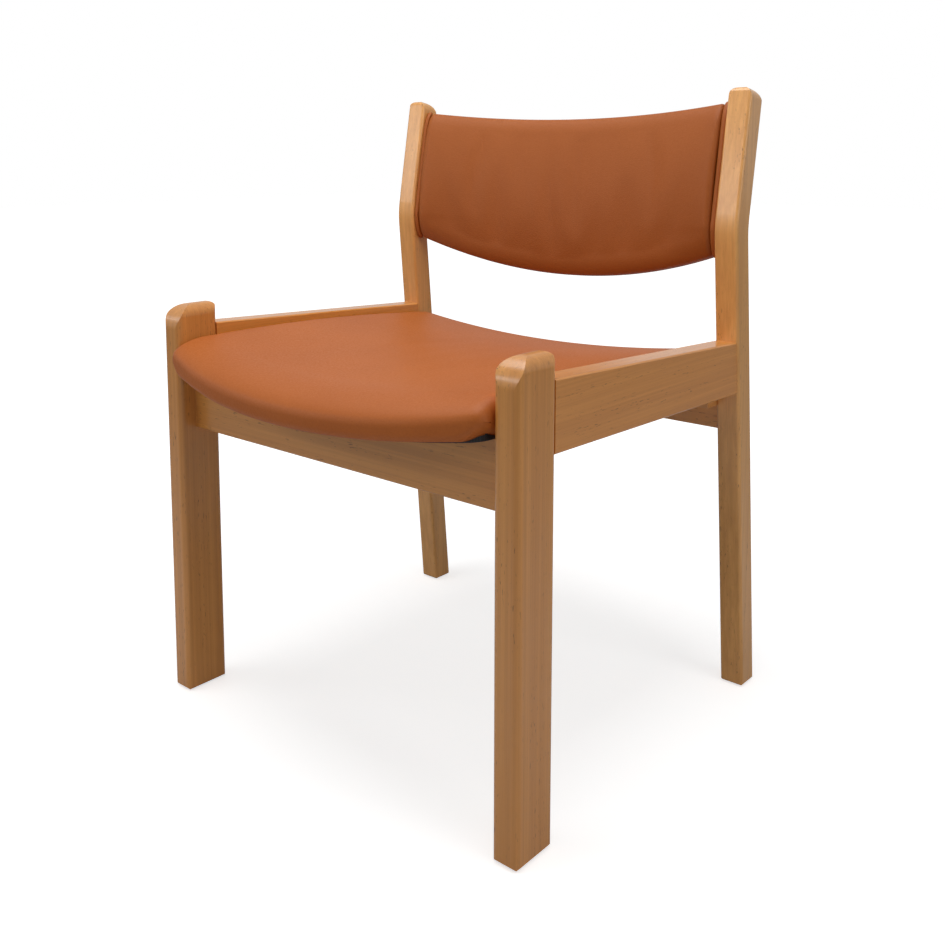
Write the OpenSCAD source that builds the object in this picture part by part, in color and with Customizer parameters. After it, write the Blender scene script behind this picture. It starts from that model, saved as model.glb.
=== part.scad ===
// Side chair: beech frame, dished upholstered seat, curved upholstered back rest.
// X is the chair's width, Y runs from front to back, Z is up from the floor.
// The origin lies on the floor at the middle of the chair's box.

/* [Frame] */
// Width over the legs
frame_w = 546; // [510:1:600]
// Depth from the front legs' front faces to the rear legs' back faces, at their bend
frame_d = 446; // [426:1:476]

/* [Front legs] */
// Height of the front legs
front_leg_h = 489; // [440:1:520]
// Width of a front leg, seen from the front
front_leg_w = 31; // [29:1:38]
// Depth of a front leg, seen from the side
front_leg_d = 58; // [50:1:66]
// Radius of a front leg's long edges
front_leg_edge_r = 7; // [3:0.5:9]
// Radius of a front leg's top at the front
front_leg_nose_r = 29; // [8:1:30]
// Radius of a front leg's top at the back
front_leg_heel_r = 5; // [3:0.5:8]
// Radius of a front leg's top along its two sides
front_leg_cap_r = 14; // [4:0.5:14.5]
// Chamfer round the bottom of every leg
foot_chamfer = 2.5; // [1:0.5:4]

/* [Rear legs] */
// Height of the rear legs' bend above the back rest's lower corners
bend_rise = 33; // [15:1:50]
// How far the rear legs stand above the back rest's upper corners
rear_leg_stand = 11.6; // [8:0.2:30]
// Width of a rear leg, seen from the front
rear_leg_w = 30; // [28:1:36]
// Thickness of a rear leg, square to its length
rear_leg_d = 32; // [30:1:38]
// Lean of the rear legs below the bend, in degrees
lower_rake = 5.15; // [3.5:0.05:6.5]
// Lean of the rear legs above the bend, in degrees
upper_rake = 9.7; // [8:0.1:12]
// Radius of the bend along the back face
bend_r = 90; // [80:5:200]
// Radius of a rear leg's long edges
rear_leg_edge_r = 4; // [2:0.5:7]
// Radius of a rear leg's top at the front
rear_leg_nose_r = 6; // [3:0.5:8]
// Radius of a rear leg's top at the back
rear_leg_heel_r = 23; // [12:1:25]
// Radius of a rear leg's top along its two sides
rear_leg_cap_r = 12.5; // [6:0.5:13.5]

/* [Rails] */
// Thickness of a side rail
side_rail_t = 27; // [22:1:30]
// How far the front legs stand above the side rails
side_rail_drop = 26; // [20:1:32]
// Fall of the side rails' top towards the rear legs
side_rail_fall = 16; // [12:1:20]
// Height of a side rail at the front legs
side_rail_front_h = 72; // [69:1:79]
// Height of a side rail at the rear legs
side_rail_rear_h = 63; // [61:1:71]
// Step from a leg's outer face in to the side rail's
side_rail_inset = 2; // [1:0.5:4]
// Thickness of the front and rear rails
cross_rail_t = 22; // [18:1:26]
// How far the front and rear rails reach below the side rails
cross_rail_drop = 55; // [49:1:65]
// Step from the front legs' front face back to the front rail's
front_rail_setback = 22; // [14:1:24]
// Step from the rear legs' front face back to the rear rail's, at its lower edge
rear_rail_setback = 2; // [1:0.5:4]
// Chamfer along the rails' long edges
rail_chamfer = 1.5; // [0.5:0.5:2.5]
// Width of the battens that carry the seat
batten_w = 28; // [26:1:32]
// Height of the battens that carry the seat
batten_h = 10; // [8:0.5:12]

/* [Seat] */
// Depth of the seat board's sides below the side rails' top, at the front legs' front face
seat_drop = 41; // [38:1:44]
// Fall of the seat towards the back, in degrees
seat_tilt = 2; // [1.5:0.1:2.4]
// Depth of the dish across the seat
seat_dish = 18; // [12:1:22]
// How far the seat's middle stands out before the front legs
seat_overhang = 54; // [46:1:62]
// How far the seat's front corners stand out before the front legs
seat_corner_overhang = 14; // [8:1:20]
// Step from the rear legs' back faces forward to the seat's back edge
seat_rear_step = 8.4; // [2.4:1:16.4]
// Radius of the seat's corners, seen from above
seat_corner_r = 12; // [6:1:18]
// Thickness of the seat board
seat_board_t = 11; // [9:0.5:13]
// Thickness of the seat foam along the seat's sides
seat_foam_t = 28; // [24:1:32]
// Extra height of the foam half way back
seat_crown = 8; // [4:1:12]
// Extra height of the foam at the seat's very middle
seat_swell = 3; // [0:0.5:6]
// Length of the roll at the seat's front
seat_front_roll = 62; // [45:1:75]
// Radius of the leather's turn under the seat
seat_under_r = 8; // [4:1:9]
// How far the seat's sides draw in, half way back
seat_pull = 1.5; // [0.5:0.5:3]

/* [Back rest] */
// Height of the back rest's lower corners above the front legs
back_low_rise = 60; // [50:1:70]
// Height of the back rest along its sides
back_rise = 182; // [165:1:195]
// How far the lower edge hangs down at the middle
back_low_bow = 38; // [28:1:44]
// How far the upper edge dips at the middle
back_high_dip = 10; // [4:1:16]
// Depth of the hollow across the back rest
back_dish = 28; // [20:1:32]
// Step from the rear legs' front face back to the leather beside them
back_setback = 3; // [1:0.5:5]
// Thickness of the back board
back_board_t = 9; // [7:0.5:9]
// Thickness of the back foam along its sides
back_foam_t = 14; // [12:0.5:17]
// Extra thickness of the back foam half way up
back_crown = 5; // [3:0.5:8]
// Extra thickness of the back foam at its very middle
back_swell = 4; // [0:0.5:6]
// Radius of the back rest's corners, seen from the front
back_corner_r = 6; // [4:1:16]
// Radius of the leather's turn behind the back rest
back_under_r = 5; // [3:0.5:7]
// How far the back rest's ends draw in, half way up
back_pull = 1; // [0.5:0.5:2]
// Width of the leather strip between the front panel and a rear leg
strip_w = 7.5; // [6:0.5:13]
// Thickness of the wooden stile behind a strip
stile_d = 20; // [16:1:22]

/* [Covers] */
// Thickness of the leather
leather_t = 1.2; // [1:0.1:1.6]
// Width of leather lying flat under the boards
lap_w = 4; // [3:0.5:5]
// Clearance between the layers of the seat and the back rest
layer_gap = 0.3; // [0.3:0.05:0.4]
// Foam past the edge of a board
foam_wrap = 1.5; // [0.5:0.5:3]
// Clearance between the seat and the legs beside it
seat_side_gap = 0.5; // [0.4:0.1:1]

/* [Fixings] */
// Radius of a dowel
dowel_r = 4; // [3:0.5:4.5]
// Depth of a dowel in a rail
dowel_rail_depth = 20; // [16:1:24]
// Depth of a dowel in a leg
dowel_leg_depth = 14; // [12:1:17]
// Radius of a screw's shank
screw_r = 2; // [1.5:0.25:2.25]
// Radius of a screw's head
screw_head_r = 4; // [3.5:0.25:4.25]
// Height of a screw's head
screw_head_h = 2.4; // [2:0.2:3]
// Depth of a screw in the piece that it holds
screw_bite = 8; // [6:0.5:8.5]
// Clearance round dowels, screws and glide pins
fit_gap = 0.1; // [0.05:0.05:0.2]
// Radius of a foot glide
glide_r = 10; // [8:0.5:12]
// Thickness of a foot glide below the leg
glide_h = 2; // [1.5:0.25:3]
// Radius of a foot glide's pin
glide_pin_r = 1.5; // [1:0.25:2]
// Length of a foot glide's pin
glide_pin_len = 12; // [10:1:16]

/* [Hidden] */

wood_colour = "#D3A36B";
ply_colour = "#C79A63";
leather_colour = "#B06A3F";
foam_colour = "#E8DFC6";
lining_colour = "#3A3838";
steel_colour = "#B9BCC0";
glide_colour = "#6B5B4C";

// How far a cutting shape runs past what it cuts
overrun = 5;
// How far a rear leg's straight lengths run into its bend, and how much fuller the bend is
bend_run_in = 2;
bend_step = 0.03;
// Cells across and along each upholstered form
cells_across = 16;
cells_along = 16;

// Heights that follow from the front legs' height
side_rail_top_front = front_leg_h - side_rail_drop;
side_rail_top_rear = side_rail_top_front - side_rail_fall;
side_rail_low_front = side_rail_top_front - side_rail_front_h;
side_rail_low_rear = side_rail_top_rear - side_rail_rear_h;
cross_rail_low = side_rail_low_front - cross_rail_drop;
seat_board_h = side_rail_top_front - seat_drop;
back_low_h = front_leg_h + back_low_rise;
back_high_h = back_low_h + back_rise;
bend_h = back_low_h + bend_rise;
rear_leg_rise = (back_high_h + rear_leg_stand - bend_h) / cos(upper_rake);

// Faces of the frame, measured from the front legs' front face and the middle
half_w = frame_w / 2;
front_leg_in = half_w - front_leg_w;
rear_leg_in = half_w - rear_leg_w;
side_rail_out = half_w - side_rail_inset;
side_rail_in = side_rail_out - side_rail_t;
front_rail_back = front_rail_setback + cross_rail_t;
rear_rail_front = rear_leg_front(cross_rail_low) + rear_rail_setback;
rear_rail_back = rear_rail_front + cross_rail_t;
foot_reach = rear_leg_back(glide_h);
chair_front = -(foot_reach - seat_overhang) / 2;

// The seat's half width, and the cylinder that its board is bent to
seat_half_w = min(front_leg_in, rear_leg_in, side_rail_in) - seat_side_gap;
seat_r = dish_radius(seat_half_w, seat_dish);
seat_mid_h = seat_board_h - seat_dish;
seat_rear = rear_leg_back(seat_board_h) - seat_rear_step;
seat_length = seat_overhang + seat_rear;
seat_front_keep_share = 0.12;
seat_side_roll = 16;
seat_side_keep_share = 0.55;
seat_rear_roll = 30;
seat_rear_keep_share = 0.4;
seat_rest = seat_board_t + leather_t + 2 * layer_gap;

// The back rest leans with the chord of the rear legs between its corners
back_low_y = rear_leg_front(back_low_h);
back_high_y = rear_leg_front(back_high_h);
back_lean = atan((back_high_y - back_low_y) / (back_high_h - back_low_h));
back_length = norm([back_high_y - back_low_y, back_high_h - back_low_h]);
back_half_w = rear_leg_in - strip_w;
back_r = dish_radius(back_half_w, back_dish);
back_depth = back_setback + back_foam_t + back_dish;
back_roll = 26;
back_keep_share = 0.3;
back_side_roll = 12;
back_side_keep_share = 0.6;
strip_step = 3;

// Thinnest foam at an edge, and what the underlining leaves free beside the leather
foam_min_t = 1;
lining_gap = 1;
// How far a board lies in from its cushion's outline, so that its lower edge clears the leather's turn
function board_inset(under_r) = under_r - leather_t - layer_gap
    + sqrt(2) * (leather_t + layer_gap + foam_wrap);
function lining_inset(under_r) = under_r + lap_w + lining_gap;

// Places of the fixings
front_dowel_heights = [cross_rail_low + 3 * dowel_r, cross_rail_low + 8 * dowel_r];
rear_dowel_heights = [cross_rail_low + 3 * dowel_r, cross_rail_low + 7 * dowel_r];
side_dowel_front_heights = [side_rail_low_front + 4 * dowel_r, side_rail_top_front - 5 * dowel_r];
side_dowel_rear_heights = [side_rail_low_rear + 4 * dowel_r, side_rail_top_rear - 4 * dowel_r];
back_dowel_shares = [0.2, 0.8];
back_dowel_r = dowel_r * 3 / 4;
back_stile_dowel_depth = strip_w * 3 / 4;
cross_screw_shares = [-0.6, 0, 0.6];
side_screw_shares = [0.15, 0.5, 0.85];
seat_screw_shares = [0.3, 0.7];
seat_screw_inset = batten_w / 4;

// Radius of a circle that rises by dish at half_w from its lowest point
function dish_radius(half_w, dish) = (half_w * half_w + dish * dish) / (2 * dish);
// Height of a point of that circle above its lowest point, on a layer t outside it
function dish_height(x, r, t = 0) = r - sqrt((r + t) * (r + t) - x * x);

// Front and back face of a rear leg at height z
function rear_leg_back(z) =
    frame_d + (z < bend_h ? (bend_h - z) * tan(lower_rake) : (z - bend_h) * tan(upper_rake));
function rear_leg_front(z) = rear_leg_back(z) - rear_leg_d / cos(z < bend_h ? lower_rake : upper_rake);

// Share of the full height that is left at distance d from an edge rolled over r
function roll(d, r, keep) = let (s = 1 - max(0, min(1, d / r)))
    keep + (1 - keep) * sqrt(1 - s * s);
// How far a rounded corner of radius r draws back an edge at x
function corner_step(x, half_w, r) = let (s = max(0, abs(x) - half_w + r) / r)
    r * (1 - sqrt(max(0, 1 - s * s)));
// A place across (u from -1 to 1) and along (v from 0 to 1), closer together at the edges
function spread_across(i, n) = sin(90 * (2 * i / n - 1));
function spread_along(j, n) = (1 - cos(180 * j / n)) / 2;

// Plan of the seat, drawn in from its outline by [side, front, rear]
function seat_at(u, v, inset) = let (
    half_w = seat_half_w - inset[0],
    x = u * half_w,
    bow = (seat_overhang - seat_corner_overhang) * (1 - u * u),
    front = inset[1] - seat_corner_overhang - bow + corner_step(x, half_w, seat_corner_r),
    rear = seat_rear - inset[2] - corner_step(x, half_w, seat_corner_r),
    pull = 1 - seat_pull / seat_half_w * sin(180 * v))
    [x * pull, front + (rear - front) * v];
// Height of the leather at a place of the plan, above the middle of the board's top
function seat_top(p) = let (
    u = min(1, abs(p[0]) / seat_half_w),
    bow = (seat_overhang - seat_corner_overhang) * (1 - u * u),
    d_front = p[1] + seat_corner_overhang + bow - corner_step(p[0], seat_half_w, seat_corner_r),
    d_rear = seat_rear - p[1] - corner_step(p[0], seat_half_w, seat_corner_r),
    v = max(0, min(1, d_front / (d_front + d_rear))),
    swell = sin(180 * v) * (seat_crown + seat_swell * (1 - u * u)),
    full = seat_foam_t + leather_t + swell)
    dish_height(p[0], seat_r) + full
        * roll(d_front, seat_front_roll, seat_front_keep_share)
        * roll(d_rear, seat_rear_roll, seat_rear_keep_share)
        * roll(seat_half_w - abs(p[0]), seat_side_roll, seat_side_keep_share);

// The same for the back rest, which runs from its lower to its upper edge
function back_at(u, v, inset) = let (
    half_w = back_half_w - inset[0],
    x = u * half_w,
    low = inset[1] - back_low_bow * (1 - u * u) + corner_step(x, half_w, back_corner_r),
    high = back_length - inset[2] - back_high_dip * (1 - u * u)
        - corner_step(x, half_w, back_corner_r),
    pull = 1 - back_pull / back_half_w * sin(180 * v))
    [x * pull, low + (high - low) * v];
function back_top(p) = let (
    u = min(1, abs(p[0]) / back_half_w),
    step = corner_step(p[0], back_half_w, back_corner_r),
    d_low = p[1] + back_low_bow * (1 - u * u) - step,
    d_high = back_length - back_high_dip * (1 - u * u) - step - p[1],
    v = max(0, min(1, d_low / (d_low + d_high))),
    swell = sin(180 * v) * (back_crown + back_swell * (1 - u * u)),
    full = back_foam_t + leather_t + swell)
    dish_height(p[0], back_r) + full
        * roll(d_low, back_roll, back_keep_share)
        * roll(d_high, back_roll, back_keep_share)
        * roll(back_half_w - abs(p[0]), back_side_roll, back_side_keep_share);
// Forward bulge of a rear leg past the back rest's chord, at distance w up it
function strip_bulge(w) = let (
    z = back_low_h + w * cos(back_lean),
    chord = back_low_y + (z - back_low_h) * tan(back_lean))
    max(0, chord - rear_leg_front(z)) * cos(back_lean);

// Grid places, the loop of places round the grid, and triangles between them
function grid(at, inset, height) = [for (j = [0:cells_along]) for (i = [0:cells_across])
    let (p = at(spread_across(i, cells_across), spread_along(j, cells_along), inset))
    [p[0], p[1], height(p)]];
function loop_places() = concat(
    [for (i = [0:cells_across - 1]) [i, 0]],
    [for (j = [0:cells_along - 1]) [cells_across, j]],
    [for (i = [cells_across:-1:1]) [i, cells_along]],
    [for (j = [cells_along:-1:1]) [0, j]]);
function loop(at, inset, height) = [for (c = loop_places())
    let (p = at(spread_across(c[0], cells_across), spread_along(c[1], cells_along), inset))
    [p[0], p[1], height(p)]];
function quad(a, b, c, d) = [[a, b, c], [a, c, d]];
function flat(rows) = [for (row = rows) for (item = row) item];
function grid_faces(start, up) = let (row = cells_across + 1)
    flat([for (j = [0:cells_along - 1]) for (i = [0:cells_across - 1])
        let (a = start + j * row + i, b = a + row)
        up ? quad(a, b, b + 1, a + 1) : quad(a, a + 1, b + 1, b)]);
function band_faces(above, below) = let (n = len(above))
    flat([for (k = [0:n - 1]) let (m = (k + 1) % n) quad(above[k], above[m], below[m], below[k])]);

// A closed form: a grid on top, loops down round its edge, and a grid below
module grid_form(top, loops, under) {
    row = cells_across + 1;
    rim = [for (c = loop_places()) c[1] * row + c[0]];
    n = len(rim);
    last = len(top) + len(loops) * n;
    rings = concat([rim],
        [for (k = [0:1:len(loops) - 1]) [for (i = [0:n - 1]) len(top) + k * n + i]],
        [[for (i = rim) last + i]]);
    polyhedron(points = concat(top, flat(loops), under),
        faces = concat(grid_faces(0, true),
            flat([for (k = [0:len(rings) - 2]) band_faces(rings[k], rings[k + 1])]),
            grid_faces(last, false)));
}

// Height of the leather, which leaves room for the thinnest foam on the board
function skin(top, p, r) =
    max(top(p), dish_height(p[0], r) + leather_t + 2 * layer_gap + foam_min_t);
function even(inset) = [inset, inset, inset];

// Leather over a cushion, down its edge and turned under its board
module cushion_skin(at, top, r, board_t, under_r) {
    under = function(p) dish_height(p[0], r, board_t) - layer_gap;
    out = function(p) under(p) - leather_t;
    inner_r = under_r - leather_t;
    lap = under_r + lap_w;
    grid_form(grid(at, even(0), function(p) skin(top, p, r)),
        concat([for (a = [0, 45, 90]) loop(at, even(under_r * (1 - cos(a))),
                function(p) out(p) + under_r * (1 - sin(a)))],
            [loop(at, even(lap), out), loop(at, even(lap), under)],
            [for (a = [90, 45, 0]) loop(at, even(leather_t + inner_r * (1 - cos(a))),
                function(p) under(p) + inner_r * (1 - sin(a)))]),
        grid(at, even(leather_t), function(p) skin(top, p, r) - leather_t));
}

// Foam between the leather and the board, on the leather's own grid
module cushion_foam(at, top, r) {
    base = function(p) dish_height(p[0], r) + layer_gap;
    crown = function(p) skin(top, p, r) - leather_t - layer_gap;
    rim_at = function(u, v, inset)
        at(u, v, abs(u) == 1 || v == 0 || v == 1 ? even(leather_t + layer_gap) : inset);
    grid_form(grid(rim_at, even(leather_t), crown), [], grid(rim_at, even(leather_t), base));
}

// A bent sheet of thickness t whose upper face lies depth below the circle of radius r
module bent_sheet(at, inset, r, depth, t, length) {
    level = function(p) 0;
    outline = [for (p = loop(at, inset, level)) [p[0], p[1]]];
    reach = dish_height(max([for (p = outline) p[0]]), r, depth) + overrun;
    intersection() {
        translate([0, 0, -depth - t - overrun])
            linear_extrude(height = depth + t + reach + overrun) polygon(outline);
        difference() {
            trough(r + depth + t, r, length);
            trough(r + depth, r, length + overrun);
        }
    }
}

// The cylinder along Y that a dished board is bent round, with its lowest line a depth below
module trough(radius, centre_h, length) {
    translate([0, length, centre_h]) rotate([90, 0, 0]) cylinder(r = radius, h = 2 * length, $fn = 720);
}

module in_chair() { translate([0, chair_front, 0]) children(); }
module on_side(side) { mirror([side > 0 ? 0 : 1, 0, 0]) children(); }
module on_seat() { translate([0, 0, seat_mid_h]) rotate([-seat_tilt, 0, 0]) children(); }
module on_back() {
    translate([0, back_low_y, back_low_h]) rotate([90 - back_lean, 0, 0])
        translate([0, 0, -back_depth]) children();
}
// Turns a drawing of depth and height so that it runs along X
module side_on(x, width) { translate([x, 0, 0]) rotate([90, 0, 90]) linear_extrude(height = width) children(); }
// Turns a drawing of width and height so that it runs along Y
module front_on(y, depth) {
    translate([0, y + depth, 0]) rotate([90, 0, 0]) linear_extrude(height = depth) children();
}

module rounded_rect(w, d, r) {
    translate([r, 0]) square([w - 2 * r, d]);
    translate([0, r]) square([w, d - 2 * r]);
    for (x = [r, w - r], y = [r, d - r]) translate([x, y]) circle(r = r, $fn = 32);
}
// What a round of radius r takes from a corner at the origin, the drawing being at -X and -Y
module corner_waste(r) {
    difference() {
        translate([-r, -r]) square(r + overrun);
        translate([-r, -r]) circle(r = r, $fn = 64);
    }
}
// A face of width w and height h with two rounded upper corners
module topped_face(w, h, left_r, right_r) {
    difference() {
        square([w, h]);
        translate([w, h]) corner_waste(right_r);
        translate([0, h]) mirror([1, 0]) corner_waste(left_r);
    }
}
// The same with a chamfered foot
module leg_face(w, h, left_r, right_r, chamfer) {
    intersection() {
        topped_face(w, h, left_r, right_r);
        polygon([[chamfer, 0], [w - chamfer, 0], [w, chamfer], [w, h], [0, h], [0, chamfer]]);
    }
}

module dowel(axis_length, r) {
    cylinder(r = r, h = axis_length, $fn = 48);
}
module screw(length, gap = 0) {
    cylinder(r1 = screw_head_r + gap, r2 = screw_r + gap, h = screw_head_h, $fn = 48);
    translate([0, 0, screw_head_h / 2]) cylinder(r = screw_r + gap, h = length - screw_head_h / 2 + gap, $fn = 48);
}

// Dowels between the cross rails and a right leg, along X
module cross_dowels(leg_in, y, heights, gap = 0) {
    for (z = heights) translate([leg_in - dowel_rail_depth - gap, y, z]) rotate([0, 90, 0])
        dowel(dowel_rail_depth + dowel_leg_depth + 2 * gap, dowel_r + gap);
}
// Dowels between the right side rail and its legs, along Y
module side_dowels_front(gap = 0) {
    for (z = side_dowel_front_heights)
        translate([side_rail_in + side_rail_t / 2, front_leg_d - dowel_leg_depth - gap, z])
            rotate([-90, 0, 0]) dowel(dowel_rail_depth + dowel_leg_depth + 2 * gap, dowel_r + gap);
}
module side_dowels_rear(gap = 0) {
    for (z = side_dowel_rear_heights)
        translate([side_rail_in + side_rail_t / 2, rear_leg_front(z) - dowel_rail_depth - gap, z])
            rotate([-90, 0, 0]) dowel(dowel_rail_depth + dowel_leg_depth + 2 * gap, dowel_r + gap);
}
// Dowels between the back rest's right stile and its leg, along X
module back_side_dowels(gap = 0) {
    on_back() for (s = back_dowel_shares)
        translate([rear_leg_in - back_stile_dowel_depth - gap, back_length * s,
            back_depth - back_setback - strip_step - stile_d / 2])
            rotate([0, 90, 0])
                dowel(back_stile_dowel_depth + dowel_leg_depth + 2 * gap, back_dowel_r + gap);
}
module glide_pin(gap = 0) {
    translate([0, 0, glide_h - glide_pin_r]) cylinder(r = glide_pin_r + gap, h = glide_pin_r + glide_pin_len + gap, $fn = 32);
}
module front_foot() { translate([half_w - front_leg_w / 2, front_leg_d / 2, 0]) children(); }
module rear_foot() {
    translate([half_w - rear_leg_w / 2, (rear_leg_front(glide_h) + rear_leg_back(glide_h)) / 2, 0])
        children();
}

module front_leg(side) {
    color(wood_colour) in_chair() on_side(side) difference() {
        intersection() {
            translate([front_leg_in, 0, glide_h]) linear_extrude(height = front_leg_h - glide_h)
                rounded_rect(front_leg_w, front_leg_d, front_leg_edge_r);
            side_on(front_leg_in, front_leg_w) translate([0, glide_h])
                leg_face(front_leg_d, front_leg_h - glide_h, front_leg_nose_r, front_leg_heel_r, foot_chamfer);
            translate([front_leg_in, 0, 0]) front_on(0, front_leg_d) translate([0, glide_h])
                leg_face(front_leg_w, front_leg_h - glide_h, front_leg_cap_r, front_leg_cap_r, foot_chamfer);
        }
        cross_dowels(front_leg_in, front_rail_setback + cross_rail_t / 2, front_dowel_heights, fit_gap);
        side_dowels_front(fit_gap);
        front_foot() glide_pin(fit_gap);
    }
}

// The rear leg's three lengths: straight, bent and straight. The straight ones run into the bend.
module rear_leg_sweep() {
    turn = lower_rake + upper_rake;
    tangent = bend_r * tan(turn / 2);
    lower = (bend_h + rear_leg_d) / cos(lower_rake) - tangent;
    upper = rear_leg_rise - tangent;
    centre = [frame_d + bend_r * cos((upper_rake - lower_rake) / 2) / cos(turn / 2),
        bend_h - bend_r * sin((upper_rake - lower_rake) / 2) / cos(turn / 2)];
    translate([rear_leg_in, frame_d, bend_h]) rotate([lower_rake, 0, 0])
        translate([0, -rear_leg_d, -tangent - lower]) linear_extrude(height = lower + bend_run_in)
            rounded_rect(rear_leg_w, rear_leg_d, rear_leg_edge_r);
    translate([rear_leg_in, centre[0], centre[1]]) rotate([90, 0, 90]) rotate([0, 0, 180 - upper_rake])
        rotate_extrude(angle = turn, $fn = 720) translate([bend_r - bend_step, -bend_step])
            rounded_rect(rear_leg_d + 2 * bend_step, rear_leg_w + 2 * bend_step,
                rear_leg_edge_r + bend_step);
    translate([rear_leg_in, frame_d, bend_h]) rotate([-upper_rake, 0, 0])
        translate([0, -rear_leg_d, tangent - bend_run_in]) intersection() {
            linear_extrude(height = upper + bend_run_in)
                rounded_rect(rear_leg_w, rear_leg_d, rear_leg_edge_r);
            side_on(0, rear_leg_w) topped_face(rear_leg_d, upper + bend_run_in,
                rear_leg_nose_r, rear_leg_heel_r);
            front_on(0, rear_leg_d) topped_face(rear_leg_w, upper + bend_run_in,
                rear_leg_cap_r, rear_leg_cap_r);
        }
}

module rear_leg(side) {
    top = bend_h + rear_leg_rise + overrun;
    front = rear_leg_front(glide_h);
    back = rear_leg_back(glide_h);
    slope = foot_chamfer * tan(lower_rake);
    color(wood_colour) in_chair() on_side(side) difference() {
        intersection() {
            rear_leg_sweep();
            translate([rear_leg_in, 0, 0]) front_on(0, 2 * frame_d) translate([0, glide_h])
                leg_face(rear_leg_w, top, foot_chamfer, foot_chamfer, foot_chamfer);
            side_on(rear_leg_in, rear_leg_w) polygon([[front + foot_chamfer, glide_h],
                [back - foot_chamfer, glide_h], [back - slope, glide_h + foot_chamfer],
                [back + overrun, glide_h + foot_chamfer], [back + overrun, top],
                [front_leg_d, top], [front_leg_d, glide_h + foot_chamfer],
                [front - slope, glide_h + foot_chamfer]]);
        }
        cross_dowels(rear_leg_in, rear_rail_front + cross_rail_t / 2, rear_dowel_heights, fit_gap);
        side_dowels_rear(fit_gap);
        back_side_dowels(fit_gap);
        rear_foot() glide_pin(fit_gap);
    }
}

// What a chamfer takes from an edge that runs along Y from the origin, the piece being at -X and -Z
module edge_waste(length) {
    front_on(-overrun, length + 2 * overrun) polygon([[-rail_chamfer - overrun, overrun],
        [overrun, -rail_chamfer - overrun], [overrun, overrun]]);
}
// The same along both edges of a rail's top or lower face, which falls by an angle
module face_waste(x_in, x_out, y, z, length, fall, low) {
    for (far = [0, 1]) translate([far == 1 ? x_out : x_in, y, z]) rotate([-fall, 0, 0])
        mirror([1 - far, 0, 0]) mirror([0, 0, low ? 1 : 0]) edge_waste(length);
}

module side_rail(side) {
    top_run = rear_leg_front(side_rail_top_rear) - front_leg_d;
    low_run = rear_leg_front(side_rail_low_rear) - front_leg_d;
    color(wood_colour) in_chair() on_side(side) difference() {
        side_on(side_rail_in, side_rail_t) polygon([
            [front_leg_d, side_rail_low_front], [rear_leg_front(side_rail_low_rear), side_rail_low_rear],
            [rear_leg_front(side_rail_top_rear), side_rail_top_rear], [front_leg_d, side_rail_top_front]]);
        face_waste(side_rail_in, side_rail_out, front_leg_d, side_rail_top_front, top_run,
            atan((side_rail_top_front - side_rail_top_rear) / top_run), false);
        face_waste(side_rail_in, side_rail_out, front_leg_d, side_rail_low_front, low_run,
            atan((side_rail_low_front - side_rail_low_rear) / low_run), true);
        side_dowels_front(fit_gap);
        side_dowels_rear(fit_gap);
        side_batten_screws(fit_gap);
    }
}

// The space of the seat, which its rails and battens are cut to
module seat_space() { on_seat() trough(seat_r + seat_rest, seat_r, frame_d + seat_length); }
// Height of the seat's underside at depth y, at a distance x from the middle
function seat_under_h(x, y) = seat_mid_h - y * tan(seat_tilt)
    + dish_height(x, seat_r, seat_rest) / cos(seat_tilt);

module cross_rail(leg_in, y, heights) {
    difference() {
        translate([-leg_in, y, cross_rail_low]) cube([2 * leg_in, cross_rail_t, seat_board_h - cross_rail_low]);
        seat_space();
        translate([leg_in, 0, 0]) rotate([0, 0, 90])
            face_waste(y, y + cross_rail_t, 0, cross_rail_low, 2 * leg_in, 0, true);
        for (side = [-1, 1]) on_side(side) cross_dowels(leg_in, y + cross_rail_t / 2, heights, fit_gap);
    }
}
module front_rail() {
    color(wood_colour) in_chair() difference() {
        cross_rail(front_leg_in, front_rail_setback, front_dowel_heights);
        front_batten_screws(fit_gap);
    }
}
module rear_rail() {
    color(wood_colour) in_chair() difference() {
        cross_rail(rear_leg_in, rear_rail_front, rear_dowel_heights);
        rear_batten_screws(fit_gap);
    }
}

// Depths between which the side battens lie, and half the length of the cross battens
side_batten_front = max(front_rail_back + batten_w, front_leg_d);
side_batten_rear = rear_rail_front - batten_w;
front_batten_half = front_leg_in;
rear_batten_half = side_rail_in;
side_batten_length = side_batten_rear - side_batten_front;

module side_batten(side) {
    x = side_rail_in - batten_w;
    low = function(y) seat_under_h(x, y) - batten_h;
    color(wood_colour) in_chair() on_side(side) difference() {
        side_on(x, batten_w) polygon([
            [side_batten_front, low(side_batten_front)], [side_batten_rear, low(side_batten_rear)],
            [side_batten_rear, seat_board_h], [side_batten_front, seat_board_h]]);
        seat_space();
        side_batten_screws(fit_gap);
        seat_fixings(fit_gap);
    }
}
module cross_batten(half_length, y) {
    low = seat_under_h(0, y + batten_w) - batten_h;
    difference() {
        translate([-half_length, y, low]) cube([2 * half_length, batten_w, seat_board_h - low]);
        seat_space();
    }
}
module front_batten() {
    color(wood_colour) in_chair() difference() {
        cross_batten(front_batten_half, front_rail_back);
        front_batten_screws(fit_gap);
    }
}
module rear_batten() {
    color(wood_colour) in_chair() difference() {
        cross_batten(rear_batten_half, side_batten_rear);
        rear_batten_screws(fit_gap);
    }
}

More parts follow.
